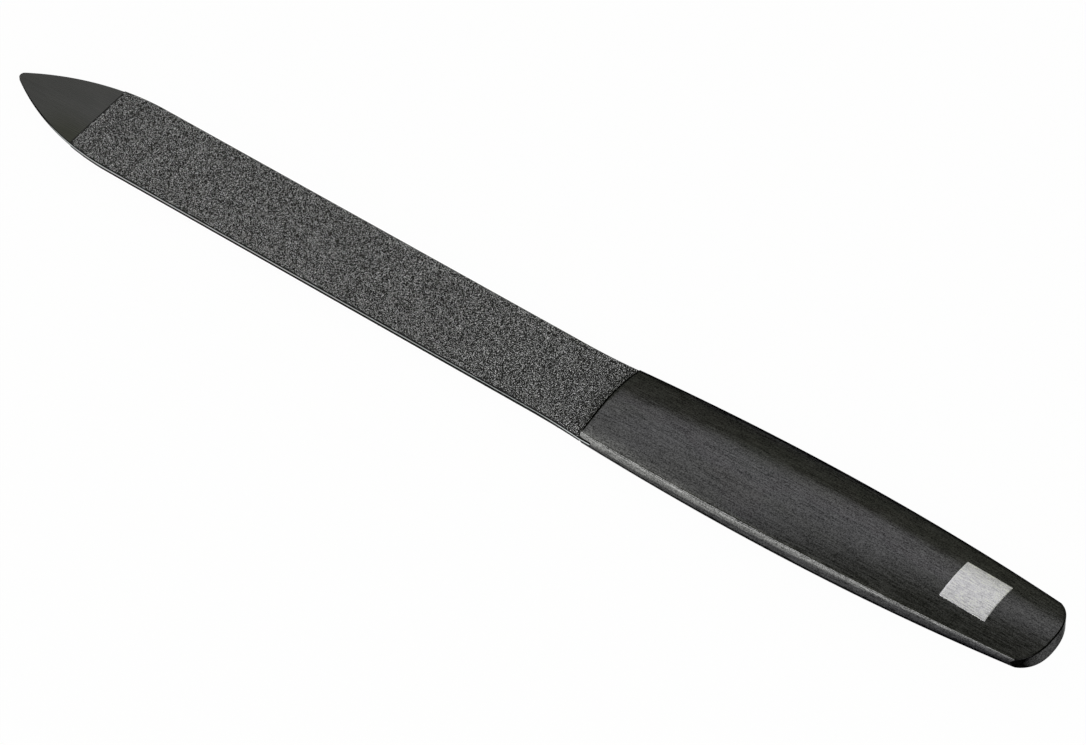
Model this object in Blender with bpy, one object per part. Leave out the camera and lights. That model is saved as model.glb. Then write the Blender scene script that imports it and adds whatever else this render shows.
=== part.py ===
"""Sapphire nail file, 160 mm long, with a steel blade, two abrasive coats and a hollow handle.

Lengths are in metres and +Z is up. The nose points along -X and the butt along +X. The file
lies on its belly: the origin is under the middle of its length, on the surface it rests on.
"""

import math

import bmesh
import bpy
from mathutils import Vector

# Blade, measured along its flat from the nose
BLADE_LENGTH = 0.095
BLADE_WIDTH = 0.01234
STEEL_THICKNESS = 0.00058
NOSE_THICKNESS = 0.00048
NOSE_RADIUS = 0.0007
TIP_ARC_RADIUS = 0.0355
FLARE_LENGTH = 0.008
FLARE_WIDTH = 0.00037
EDGE_BREAK = 0.00008

# Abrasive coats
GRIT_START = 0.0131
GRIT_THICKNESS = 0.00009
GRIT_EDGE_MARGIN = 0.00008
BOND_GAP = 0.00004

# Handle, measured along its own axis from its front face
HANDLE_LENGTH = 0.065
HANDLE_PITCH = math.radians(1.77)
HANDLE_WIDTH = 0.0136
WIDEST_AT = 0.0243
SIDE_ARC_RADIUS = 0.452
SIDE_BULGE = 0.00038
BUTT_DEPTH = 0.0038
BUTT_WIDTH_SPARE = 0.00002
FRONT_SIDE_HEIGHT = 0.0022
MIDDLE_SIDE_HEIGHT = 0.00272
REAR_SIDE_HEIGHT = 0.0023
BUTT_SIDE_HEIGHT = 0.00134
FRONT_CROWN = 0.00136
MIDDLE_CROWN = 0.00191
REAR_CROWN = 0.00134
BUTT_CROWN = 0.0007
STATION_SHARES = (0, 0.4, 0.785, 1)
BELLY_FLAT_DEPTH = 0.00008

# Handle inside
WALL = 0.0009
FRONT_WALL = 0.0026
BUTT_BLOCK = 0.012
SLOT_BACK_WALL = 0.0009
FIT_GAP = 0.0003

# Tang, and the filler's keys that pass through its holes
CORE_SIDE_WALL = 0.0012
TANG_END_MARGIN = 0.008
TANG_SHOULDER = 0.0004
TANG_HOLE_DIAMETER = 0.003
FRONT_HOLE_AT = 0.012
REAR_HOLE_FROM_END = 0.008

# Square inlay near the butt
BADGE_SIDE = 0.0064
BADGE_FROM_BUTT = 0.0081
BADGE_POCKET_DEPTH = 0.00042
BADGE_GAP = 0.00006

# Fineness of the curved surfaces
NOSE_STEPS = 5
TIP_STEPS = 14
FLARE_STEPS = 5
HANDLE_STEPS = 26
BUTT_STEPS = 10
CROWN_STEPS = 16
SIDE_STEPS = 3
BADGE_STEPS = 8
HOLE_SIDES = 24
CUT_OVERRUN = 0.002
BUTT_LAST_ANGLE = math.radians(87)
NOSE_FIRST_ANGLE = math.radians(18)
SMOOTH_ANGLE = math.radians(30)


def clear_scene():
    for item in list(bpy.data.objects):
        bpy.data.objects.remove(item, do_unlink=True)


def coating(name, colour, metallic, roughness):
    material = bpy.data.materials.new(name)
    material.use_nodes = True
    shader = material.node_tree.nodes["Principled BSDF"]
    shader.inputs["Base Color"].default_value = (*colour, 1)
    shader.inputs["Metallic"].default_value = metallic
    shader.inputs["Roughness"].default_value = roughness
    return material


def mesh_object(name, bm, parent, material=None):
    bmesh.ops.recalc_face_normals(bm, faces=bm.faces)
    mesh = bpy.data.meshes.new(name)
    bm.to_mesh(mesh)
    bm.free()
    mesh.shade_smooth()
    mesh.set_sharp_from_angle(angle=SMOOTH_ANGLE)
    if material:
        mesh.materials.append(material)
    made = bpy.data.objects.new(name, mesh)
    made.parent = parent
    bpy.context.collection.objects.link(made)
    return made


def skin_loops(loops):
    """A closed solid through loops of points, each with as many points as the next."""
    bm = bmesh.new()
    rings = [[bm.verts.new(point) for point in loop] for loop in loops]
    count = len(rings[0])
    for ring, following in zip(rings, rings[1:]):
        for i in range(count):
            j = (i + 1) % count
            bm.faces.new((ring[i], ring[j], following[j], following[i]))
    bm.faces.new(rings[0])
    bm.faces.new(rings[-1])
    return bm


def upright_cylinder(x, diameter, low, high):
    loops = []
    for z in (low, high):
        loop = []
        for i in range(HOLE_SIDES):
            angle = 2 * math.pi * i / HOLE_SIDES
            around = Vector((math.cos(angle), math.sin(angle), 0)) * diameter / 2
            loop.append(Vector((x, 0, z)) + around)
        loops.append(loop)
    return skin_loops(loops)


def combine(target, bm, name, operation="DIFFERENCE"):
    """Cuts a shape out of an object, or joins it on, and keeps the shape as a wire guide."""
    guide = mesh_object(name, bm, target.parent)
    guide.hide_render = True
    guide.display_type = "WIRE"
    modifier = target.modifiers.new(name, "BOOLEAN")
    modifier.operation = operation
    modifier.solver = "EXACT"
    modifier.object = guide


def through_stations(sizes, x):
    """The smooth cubic through one size at each station along the handle."""
    places = [share * HANDLE_LENGTH for share in STATION_SHARES]
    total = 0
    for i, size in enumerate(sizes):
        weight = 1
        for j, place in enumerate(places):
            if j != i:
                weight *= (x - place) / (places[i] - place)
        total += size * weight
    return total


def rim_half_height(x):
    sides = (FRONT_SIDE_HEIGHT, MIDDLE_SIDE_HEIGHT, REAR_SIDE_HEIGHT, BUTT_SIDE_HEIGHT)
    return through_stations(sides, x) / 2


def crown(x):
    return through_stations((FRONT_CROWN, MIDDLE_CROWN, REAR_CROWN, BUTT_CROWN), x)


def rim_half_width(x):
    """Half the handle's width at its rim, where the side meets the crown."""
    sag = SIDE_ARC_RADIUS - math.sqrt(SIDE_ARC_RADIUS ** 2 - (x - WIDEST_AT) ** 2)
    return HANDLE_WIDTH / 2 - sag


def side_half_width(x, z):
    """Half the handle's width on its barrelled side, at a height above its mid plane."""
    height = rim_half_height(x)
    bulge = SIDE_BULGE * height / rim_half_height(WIDEST_AT)
    return rim_half_width(x) + bulge * max(1 - (z / height) ** 2, 0)


def butt_start():
    return HANDLE_LENGTH - BUTT_DEPTH


def butt_half_width(x):
    """Half the width that the rounded end wall leaves at a place along the handle."""
    widest = side_half_width(butt_start(), 0) + BUTT_WIDTH_SPARE
    share = (x - butt_start()) / BUTT_DEPTH
    return widest * math.sqrt(1 - share ** 2)


def trimmed(half, x):
    """A half width, or less where the rounded end wall cuts it."""
    return half if x <= butt_start() else min(half, butt_half_width(x))


def crown_height(x, y):
    """Height of the crown above the handle's mid plane."""
    return rim_half_height(x) + crown(x) * (1 - (y / rim_half_width(x)) ** 2)


def outer_stations():
    places = [butt_start() * i / HANDLE_STEPS for i in range(HANDLE_STEPS)]
    for i in range(BUTT_STEPS + 1):
        angle = BUTT_LAST_ANGLE * i / BUTT_STEPS
        places.append(butt_start() + BUTT_DEPTH * math.sin(angle))
    return places


def rest_depth():
    """How far the surface that the file rests on lies below the blade's mid plane."""
    depths = []
    for x in outer_stations():
        crest = crown_height(x, 0) * math.cos(HANDLE_PITCH)
        depths.append(crest - x * math.sin(HANDLE_PITCH))
    return max(depths) - BELLY_FLAT_DEPTH


def flattened(point, floor):
    """The point, raised to the rest plane if it would reach below it."""
    lowest = -(floor + point.x * math.sin(HANDLE_PITCH)) / math.cos(HANDLE_PITCH)
    return Vector((point.x, point.y, max(point.z, lowest)))


def outer_half_section(x, side):
    """Section of one outer half, from the seam up one side, over the crown and down."""
    seam = FIT_GAP / 2
    half = trimmed(rim_half_width(x), x)
    rim = crown_height(x, half)
    flank = []
    for i in range(SIDE_STEPS):
        z = seam + (rim - seam) * i / SIDE_STEPS
        flank.append((trimmed(side_half_width(x, z), x), z))
    points = [Vector((x, -y, side * z)) for y, z in flank]
    for i in range(CROWN_STEPS + 1):
        y = -half + 2 * half * i / CROWN_STEPS
        points.append(Vector((x, y, side * crown_height(x, y))))
    points += [Vector((x, y, side * z)) for y, z in reversed(flank)]
    return points


def inner_points(x, clearance, side):
    """The crown of the hollow, or of what fills it with a clearance."""
    half = rim_half_width(x) - WALL - clearance
    points = []
    for i in range(CROWN_STEPS + 1):
        y = -half + 2 * half * i / CROWN_STEPS
        hollow = max(crown_height(x, y) - WALL, 2 * FIT_GAP)
        points.append(Vector((x, y, side * (hollow - clearance))))
    return points


def hollow_stations(start, end):
    steps = HANDLE_STEPS // 2
    return [start + (end - start) * i / steps for i in range(steps + 1)]


def core_end():
    return HANDLE_LENGTH - BUTT_BLOCK - FIT_GAP


def cavity(side):
    """The space inside one shell, open past the seam."""
    loops = []
    for x in hollow_stations(FRONT_WALL, core_end() + FIT_GAP):
        loop = inner_points(x, 0, side)
        half = rim_half_width(x) - WALL
        beyond = -side * CUT_OVERRUN
        loop.append(Vector((x, half, beyond)))
        loop.append(Vector((x, -half, beyond)))
        loops.append(loop)
    return skin_loops(loops)


def tang_end():
    return core_end() - TANG_END_MARGIN


def tang_half_width():
    """The filler keeps a wall beside the tang where the handle is slimmest round it."""
    return rim_half_width(tang_end()) - WALL - CORE_SIDE_WALL - 2 * FIT_GAP


def hole_places():
    return (("front", FRONT_HOLE_AT), ("rear", tang_end() - REAR_HOLE_FROM_END))


def shoulder_end():
    """Where the blade's full width ends, inside the handle's front slot."""
    return FRONT_WALL - SLOT_BACK_WALL - FIT_GAP


def slot_half_height():
    return STEEL_THICKNESS / 2 + FIT_GAP


def front_slot(end):
    """The slot that takes the blade's full width at the handle's front, then only its tang."""
    wide = HANDLE_WIDTH
    narrow = tang_half_width() + FIT_GAP
    step = shoulder_end() + FIT_GAP
    outline = (
        (-CUT_OVERRUN, -wide), (step, -wide), (step, -narrow), (end, -narrow),
        (end, narrow), (step, narrow), (step, wide), (-CUT_OVERRUN, wide),
    )
    heights = (-slot_half_height(), slot_half_height())
    return skin_loops([[Vector((x, y, z)) for x, y in outline] for z in heights])


def badge_slab(margin, below, above):
    """A slab that follows the crown under the badge, grown sideways by a margin."""
    loops = []
    end = HANDLE_LENGTH - BADGE_FROM_BUTT + margin
    start = end - BADGE_SIDE - 2 * margin
    half = BADGE_SIDE / 2 + margin
    for i in range(BADGE_STEPS + 1):
        x = start + (end - start) * i / BADGE_STEPS
        across = [-half + 2 * half * j / BADGE_STEPS for j in range(BADGE_STEPS + 1)]
        upper = [Vector((x, y, crown_height(x, y) + above)) for y in across]
        lower = [Vector((x, y, crown_height(x, y) - below)) for y in reversed(across)]
        loops.append(upper + lower)
    return skin_loops(loops)


def make_shell(name, side, parent, material):
    floor = rest_depth()
    loops = []
    for x in outer_stations():
        loop = outer_half_section(x, side)
        if side < 0:
            loop = [flattened(point, floor) for point in loop]
        loops.append(loop)
    shell = mesh_object(name, skin_loops(loops), parent, material)
    combine(shell, cavity(side), name + "_cavity")
    combine(shell, front_slot(FRONT_WALL + CUT_OVERRUN), name + "_slot")
    return shell


def make_core(parent, material):
    """The filler that backs the shells, grips the tang and keys into its holes."""
    loops = []
    for x in hollow_stations(FRONT_WALL + FIT_GAP, core_end()):
        loops.append(inner_points(x, FIT_GAP, 1) + inner_points(x, FIT_GAP, -1)[::-1])
    core = mesh_object("handle_core", skin_loops(loops), parent, material)
    combine(core, front_slot(tang_end() + FIT_GAP), "core_slot")
    for label, x in hole_places():
        reach = (slot_half_height() + crown_height(x, 0) - WALL) / 2
        key = upright_cylinder(x, TANG_HOLE_DIAMETER - 2 * FIT_GAP, -reach, reach)
        combine(core, key, "core_" + label + "_key", "UNION")


def tip_arc_start():
    """Place along the blade where the tip's arc meets the straight edge."""
    rise = TIP_ARC_RADIUS - BLADE_WIDTH / 2
    return NOSE_RADIUS + math.sqrt((TIP_ARC_RADIUS - NOSE_RADIUS) ** 2 - rise ** 2)


def nose_end():
    """Place along the blade where the nose's small arc meets the tip's arc."""
    run = tip_arc_start() - NOSE_RADIUS
    return NOSE_RADIUS * (1 - run / (TIP_ARC_RADIUS - NOSE_RADIUS))


def blade_half_width(x):
    """Half the blade's width: nose arc, tip arc, straight, then a flare to the handle."""
    full = BLADE_WIDTH / 2
    if x < nose_end():
        return math.sqrt(NOSE_RADIUS ** 2 - (NOSE_RADIUS - x) ** 2)
    if x < tip_arc_start():
        away = tip_arc_start() - x
        return full - TIP_ARC_RADIUS + math.sqrt(TIP_ARC_RADIUS ** 2 - away ** 2)
    if x <= BLADE_LENGTH:
        share = max(x - BLADE_LENGTH + FLARE_LENGTH, 0) / FLARE_LENGTH
        return full + FLARE_WIDTH * share ** 2
    return full + FLARE_WIDTH


def steel_thickness(x):
    """The bare tip thins towards the nose."""
    share = min(x / GRIT_START, 1)
    return NOSE_THICKNESS + (STEEL_THICKNESS - NOSE_THICKNESS) * share


def along_blade(x, y, z):
    """A point on the blank, which is bent to the handle's axis where it enters the handle."""
    beyond = max(x - BLADE_LENGTH, 0)
    if not beyond:
        return Vector((x, y, z))
    cosine = math.cos(HANDLE_PITCH)
    sine = math.sin(HANDLE_PITCH)
    return Vector((BLADE_LENGTH + beyond * cosine - z * sine, y, beyond * sine + z * cosine))


def steel_section(x, half):
    """The blank's section, a flat bar with broken edges."""
    thick = steel_thickness(x) / 2
    edge = min(EDGE_BREAK, half / 2, thick / 2)
    corners = (
        (half, thick - edge), (half - edge, thick), (edge - half, thick), (-half, thick - edge),
        (-half, edge - thick), (edge - half, -thick), (half - edge, -thick), (half, edge - thick),
    )
    return [along_blade(x, y, z) for y, z in corners]


def tip_stations():
    places = []
    last = math.acos(1 - nose_end() / NOSE_RADIUS)
    for i in range(NOSE_STEPS):
        angle = NOSE_FIRST_ANGLE + (last - NOSE_FIRST_ANGLE) * i / NOSE_STEPS
        places.append(NOSE_RADIUS * (1 - math.cos(angle)))
    widest = math.asin((tip_arc_start() - nose_end()) / TIP_ARC_RADIUS)
    for i in range(TIP_STEPS + 1):
        angle = widest * (1 - i / TIP_STEPS)
        places.append(tip_arc_start() - TIP_ARC_RADIUS * math.sin(angle))
    return places


def flare_stations(end):
    start = BLADE_LENGTH - FLARE_LENGTH
    return [start + (end - start) * i / FLARE_STEPS for i in range(FLARE_STEPS + 1)]


def make_blade(parent, material):
    """The steel blank, with its tang, and the holes that the filler keys into."""
    shoulder = BLADE_LENGTH + shoulder_end()
    places = tip_stations() + flare_stations(BLADE_LENGTH)
    places += [GRIT_START, shoulder - TANG_SHOULDER]
    loops = [steel_section(x, blade_half_width(x)) for x in sorted(places)]
    loops.append(steel_section(shoulder, tang_half_width()))
    loops.append(steel_section(BLADE_LENGTH + tang_end(), tang_half_width()))
    blade = mesh_object("blade", skin_loops(loops), parent, material)
    for label, x in hole_places():
        reach = crown_height(x, 0)
        hole = upright_cylinder(x, TANG_HOLE_DIAMETER, -reach, reach)
        for vert in hole.verts:
            vert.co = along_blade(BLADE_LENGTH + vert.co.x, vert.co.y, vert.co.z)
        combine(blade, hole, "blade_" + label + "_hole")


def make_grit(name, side, parent, material):
    """One abrasive coat, from the bare tip to the handle's front face."""
    low = STEEL_THICKNESS / 2 + BOND_GAP
    high = low + GRIT_THICKNESS
    end = BLADE_LENGTH - FIT_GAP
    places = [x for x in tip_stations() if x > GRIT_START]
    places += [GRIT_START] + flare_stations(end)
    loops = []
    for x in sorted(places):
        half = blade_half_width(x) - GRIT_EDGE_MARGIN
        loops.append([
            Vector((x, -half, side * low)),
            Vector((x, half, side * low)),
            Vector((x, half, side * high)),
            Vector((x, -half, side * high)),
        ])
    mesh_object(name, skin_loops(loops), parent, material)


def axis_frame(name, location, pitch, parent=None):
    frame = bpy.data.objects.new(name, None)
    frame.empty_display_size = HANDLE_WIDTH
    frame.location = location
    frame.rotation_euler = (0, -pitch, 0)
    frame.parent = parent
    bpy.context.collection.objects.link(frame)
    return frame


def main():
    clear_scene()
    black = coating("black_coated_steel", (0.035, 0.036, 0.038), 1, 0.38)
    dark = coating("dark_blade_steel", (0.05, 0.05, 0.052), 1, 0.35)
    grit = coating("sapphire_grit", (0.085, 0.085, 0.088), 0.2, 0.75)
    bright = coating("bare_badge_steel", (0.6, 0.6, 0.6), 1, 0.35)
    resin = coating("filler_resin", (0.12, 0.11, 0.1), 0, 0.6)

    butt_reach = (butt_start() + BUTT_DEPTH * math.sin(BUTT_LAST_ANGLE)) * math.cos(HANDLE_PITCH)
    butt_reach += crown_height(HANDLE_LENGTH, 0) * math.sin(HANDLE_PITCH)
    middle = (BLADE_LENGTH + butt_reach) / 2
    blade_axis = axis_frame("blade_axis", (-middle, 0, rest_depth()), 0)
    handle_axis = axis_frame("handle_axis", (BLADE_LENGTH, 0, 0), HANDLE_PITCH, blade_axis)

    make_blade(blade_axis, dark)
    make_grit("upper_grit_coat", 1, blade_axis, grit)
    make_grit("lower_grit_coat", -1, blade_axis, grit)
    upper = make_shell("upper_handle_shell", 1, handle_axis, black)
    combine(upper, badge_slab(BADGE_GAP, BADGE_POCKET_DEPTH, CUT_OVERRUN), "badge_pocket")
    make_shell("lower_handle_shell", -1, handle_axis, black)
    make_core(handle_axis, resin)
    inlay = badge_slab(0, BADGE_POCKET_DEPTH - BADGE_GAP, 0)
    mesh_object("badge_inlay", inlay, handle_axis, bright)


main()
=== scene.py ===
"""Finish, light and camera for the nail file.

Steel blade, grit coats, black brushed handle and bright badge.
"""

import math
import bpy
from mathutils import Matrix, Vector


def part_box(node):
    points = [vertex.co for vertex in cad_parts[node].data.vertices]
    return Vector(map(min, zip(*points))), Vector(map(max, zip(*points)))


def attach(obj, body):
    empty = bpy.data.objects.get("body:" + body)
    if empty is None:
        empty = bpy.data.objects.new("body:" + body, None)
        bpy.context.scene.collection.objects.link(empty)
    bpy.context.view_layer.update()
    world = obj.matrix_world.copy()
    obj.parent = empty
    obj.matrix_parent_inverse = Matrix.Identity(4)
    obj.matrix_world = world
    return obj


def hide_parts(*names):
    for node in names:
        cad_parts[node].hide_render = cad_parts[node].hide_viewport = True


bl_info = {
    "name": "Nail file",
    "version": (1, 0, 0),
    "blender": (4, 5, 0),
    "location": "3D view > Sidebar > Nail file",
    "description": "Dresses the nail file's frame with fine meshes and procedural finishes",
    "category": "Object",
}

import bmesh
import bpy
from bpy.props import FloatProperty, FloatVectorProperty, IntProperty, PointerProperty
from bpy.types import Operator, Panel, PropertyGroup
from mathutils import Matrix, Vector

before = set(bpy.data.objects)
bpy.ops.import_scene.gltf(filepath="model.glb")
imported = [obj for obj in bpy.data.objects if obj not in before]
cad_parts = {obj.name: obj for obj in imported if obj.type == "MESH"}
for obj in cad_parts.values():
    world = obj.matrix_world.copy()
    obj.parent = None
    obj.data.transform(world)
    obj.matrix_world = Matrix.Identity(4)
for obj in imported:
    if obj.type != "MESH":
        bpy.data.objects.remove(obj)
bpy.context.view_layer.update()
NOSE_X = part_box("blade")[0].x
GRIT_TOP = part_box("upper_grit_coat")[1].z
GRIT_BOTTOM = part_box("lower_grit_coat")[0].z
BLADE_PLANE = (GRIT_TOP + GRIT_BOTTOM) / 2
MM = 0.001


def length(name, description, millimetres):
    return FloatProperty(
        name=name, description=description, default=millimetres * MM, unit="LENGTH", precision=5
    )


def colour(name, description, default):
    return FloatVectorProperty(
        name=name, description=description, default=default, subtype="COLOR", min=0, max=1
    )


def amount(name, description, default):
    return FloatProperty(name=name, description=description, default=default)


def angle(name, description, degrees):
    return FloatProperty(
        name=name, description=description, default=math.radians(degrees), subtype="ANGLE"
    )


class BladeSizes(PropertyGroup):
    """The steel blank, measured along its flat from the nose"""

    reach: length("Length", "From the nose to the handle's front face", 95)
    width: length("Width", "Between the straight edges", 12.34)
    steel: length("Steel", "Thickness of the bare steel", 0.58)
    nose_steel: length("Nose steel", "Thickness at the nose", 0.48)
    nose_radius: length("Nose radius", "Small arc at the point", 0.7)
    tip_radius: length("Tip radius", "Arc of the pointed tip's edges", 35.5)
    flare_run: length("Flare length", "Where the edges widen before the handle", 8)
    flare: length("Flare", "Gain in half width at the handle", 0.37)
    edge_round: length("Edge rounding", "Rounding of the steel's long edges", 0.14)
    # Painted highlight on the ground edge: where it starts, where it is full, and its height.
    bright_from: length("Bright from", "Where the ground edge starts to shine", 7)
    bright_to: length("Bright to", "Where the ground edge shines fully", 12)
    bright_line: length("Bright line", "Height of the edge's shine over its middle", -0.04)
    shoulder: length("Shoulder", "How deep the full width sits in the handle", 1.6)
    tang_half: length("Tang half width", "Half the width of the hidden tang", 3.79)
    tang_end: length("Tang end", "How deep the tang reaches into the handle", 44.7)
    hole: length("Tang hole", "Diameter of the holes in the tang", 3)
    hole_front: length("Front hole", "Place of the front hole in the handle", 12)
    hole_rear: length("Rear hole", "Place of the rear hole in the handle", 36.7)


class GritSizes(PropertyGroup):
    """The abrasive coats"""

    start: length("Start", "From the nose to the coat's front edge", 13.05)
    stop_gap: length("Gap to the handle", "Bare strip before the handle", 0.03)
    bond: length("Bond", "Thickness of the layer that holds the grains", 0.127)
    edge_margin: length("Edge margin", "Steel left bare along the upper long edges", 0.01)
    overhang: length("Overhang", "How far the lower bond reaches past the edges", 0.11)
    wrap: length("Wrap", "How far the bond reaches over the steel's edge", 0.1)
    bare_ends: length("Bare ends", "Bond without grains at the coat's ends", 0.17)
    bare_near: length("Bare right rim", "Bond without grains along the right edge", 0.01)
    bare_far: length("Bare left rim", "Bond without grains along the left edge", 0.09)
    spacing: length("Spacing", "Least distance between two grains", 0.093)
    grain: length("Grain", "Radius of a middling grain", 0.074)
    seed: IntProperty(name="Seed", description="Pattern of the grains", default=7)


class HandleSizes(PropertyGroup):
    """The handle, measured along its own axis from its front face"""

    reach: length("Length", "From the front face to the butt", 64.96)
    pitch: angle("Pitch", "How far the handle rises towards the butt", 1.77)
    width: length("Width", "Across the rims at the widest place", 13.588)
    widest_at: length("Widest at", "Place of the greatest width", 24.3)
    side_radius: length("Side radius", "Arc of the rims in plan", 452)
    bulge: length("Side bulge", "Barrel of the side walls", 0.38)
    butt_depth: length("Butt depth", "Depth of the rounded end wall", 3.9)
    butt_square: amount("Butt squareness", "Power of the end wall's plan, 2 for an ellipse", 2.3)
    rim_round: length("Rim rounding", "Radius between the sides and the top crown", 0.14)
    belly_rim_round: length("Belly rim", "Radius between the sides and the belly", 0.05)
    lip_round: length("Lip rounding", "Radius of the front edge at its middle", 0.5)
    # Painted highlight inside the right rim of the crown, running back from the front.
    highlight_reach: length("Worn reach", "How far the wear inside the rims runs back", 26)
    # Painted highlight high on the side walls: the height share where its lower edge lies, at the
    # front and at the butt.
    side_highlight_front: amount("Pale band, front", "Height share where the side's pale band starts", -0.12)
    side_highlight_butt: amount("Pale band, butt", "The same at the butt", 0.9)
    seam: length("Seam", "Hairline between the two shells", 0.01)
    wall: length("Wall", "Thickness of the shells", 0.9)
    front_wall: length("Front wall", "Solid metal at the front", 2.6)
    butt_block: length("Butt block", "Solid metal at the butt", 12)
    slot_gap: length("Slot gap", "Room above and below the steel in its slot", 0.05)
    belly_flat: length("Belly flat", "How deep the resting flat cuts the belly", 0.081)


class BadgeSizes(PropertyGroup):
    """The square inlay"""

    side: length("Side", "Side of the square, along the handle", 6.455)
    across: length("Across", "Its width across the handle", 6.24)
    from_butt: length("From the butt", "Gap from the butt to the square", 7.932)
    pocket: length("Pocket", "Depth of its pocket", 0.42)
    joint: length("Joint", "Hairline round the square", 0.015)
    proud: length("Proud", "How far it stands above the crown", 0.01)


class FinishColours(PropertyGroup):
    """Colours of the finishes"""

    black: colour("Black", "Coated handle, mean tone", (0.0745, 0.0738, 0.0795))
    black_warm: colour("Black, warm", "Coated handle, warm patches", (0.0705, 0.07, 0.073))
    # Painted highlight along the right rims.
    black_rim_highlight: colour("Black, worn", "Coated handle along its rims", (0.24, 0.24, 0.24))
    # Painted highlight high on the side walls.
    black_side_highlight: colour("Black, sides", "Pale band high on its side walls", (0.2, 0.2, 0.2))
    # Painted sheen: the end wall is drawn paler.
    black_end_sheen: colour("Black, end", "Coated handle on its end wall", (0.18, 0.18, 0.183))
    # Painted shade at the lips, towards the end wall's corners, along the left rim and low on the
    # walls.
    black_painted_shade: colour("Black, lips", "Coated handle at its end edges", (0.006, 0.006, 0.006))
    steel: colour("Dark steel", "Bare tip of the blade", (0.094, 0.0935, 0.098))
    # Darker, warmer tone on the right side behind the nose.
    steel_warm: colour("Dark steel, warm", "Stained corner of the tip", (0.068, 0.0695, 0.061))
    # Painted highlight along one fine line of the ground edges; elsewhere they are near black as
    # painted shade.
    edge: colour("Edge", "Ground edges of the blade", (0.888, 0.934, 0.948))
    edge_dark: colour("Edge, dark", "Ground edges away from their shine", (0.02, 0.02, 0.02))
    bond: colour("Bond", "Layer under the grains", (0.012, 0.012, 0.013))
    grain_dark: colour("Dark grain", "Darkest grains", (0.02, 0.02, 0.02))
    grain_pale: colour("Pale grain", "Palest grains", (0.775, 0.77, 0.81))
    grain_bright: colour("Bright grain", "The few glinting grains", (0.75, 0.75, 0.75))
    badge: colour("Badge", "Bare satin metal", (0.885, 0.868, 0.968))
    filler: colour("Filler", "Resin inside the handle", (0.12, 0.11, 0.1))
    floor: colour("Floor", "Pale floor", (0.86, 0.86, 0.86))


class StudioSettings(PropertyGroup):
    """Light and camera"""

    world: amount("World", "Level of the soft light from all round", 0.335)
    world_tint: colour("World tint", "Colour of the soft light from all round", (0.96, 1, 0.76))
    top: amount("Top light", "Brightness of the softbox overhead", 0.8)
    fill: amount("Fill light", "Brightness of the softbox on the camera's right", 5)
    front: amount("Front light", "Brightness of the low strip in front", 4.2)
    glow: amount("Floor glow", "Share of plain white in the floor that is seen", 0.97)
    mirror_glow: amount("Mirrored glow", "The same where metal mirrors it", 0.4)
    azimuth: angle("Azimuth", "Camera's turn round the file", 36.39)
    elevation: angle("Elevation", "Camera's height above the horizon", 49.58)
    distance: length("Distance", "From the camera to the middle of the file", 652.6)
    lens: amount("Lens", "Focal length in millimetres", 173.61)


PREFIX = "nail_file_"
SETTINGS = {
    "blade": BladeSizes, "grit": GritSizes, "handle": HandleSizes,
    "badge": BadgeSizes, "colours": FinishColours, "studio": StudioSettings,
}


def settings(kind):
    return getattr(bpy.context.scene, PREFIX + kind)


# Nodes written as expressions


class Value:
    """A node's output socket, with arithmetic that adds Math nodes"""

    def __init__(self, nodes, socket):
        self.nodes = nodes
        self.socket = socket

    def __getitem__(self, name):
        """Another output of the same node."""
        return Value(self.nodes, self.socket.node.outputs[name])

    def math(self, operation, *others):
        sockets = dict(enumerate((self, *others)))
        return self.nodes.add("ShaderNodeMath", {"operation": operation}, sockets)

    def __add__(self, other):
        return self.math("ADD", other)

    def __sub__(self, other):
        return self.math("SUBTRACT", other)

    def __mul__(self, other):
        return self.math("MULTIPLY", other)

    def __gt__(self, other):
        return self.math("GREATER_THAN", other)

    def __rsub__(self, other):
        return self.nodes.add("ShaderNodeMath", {"operation": "SUBTRACT"}, {0: other, 1: self})

    __radd__ = __add__
    __rmul__ = __mul__


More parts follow.
